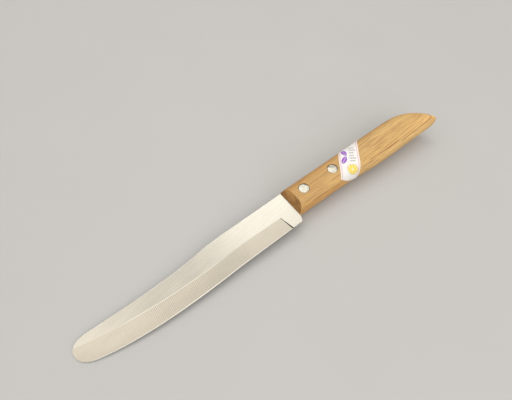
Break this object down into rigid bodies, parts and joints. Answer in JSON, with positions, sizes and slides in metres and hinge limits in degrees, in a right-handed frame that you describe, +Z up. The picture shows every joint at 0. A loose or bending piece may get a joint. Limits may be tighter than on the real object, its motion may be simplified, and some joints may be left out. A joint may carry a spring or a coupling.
{
  "type": "fruit knife",
  "caption": "Small fruit knife with a round-tipped ground steel blade riveted into a slotted oval wooden handle with a beaked butt and a wrapped paper label.",
  "frame": {"origin": "on the flat of the handle's underside, half-way between the rivets", "axes": "+X along the knife from tip to butt, -Y towards the cutting edge, +Z up out of the side it lies on"},
  "size_m": [0.2128, 0.0187, 0.0123],
  "materials": {
    "blade_steel": "satin flats, fine cross-ground bevels",
    "handle_wood": "sanded and lightly oiled, straight grain",
    "rivet_metal": "hammered, dull bright",
    "label_paper": null
  },
  "bodies": {
    "root": {"blade": "blade_steel", "handle": "handle_wood", "front_rivet": "rivet_metal", "rear_rivet": "rivet_metal", "label": "label_paper"}
  },
  "joints": []
}
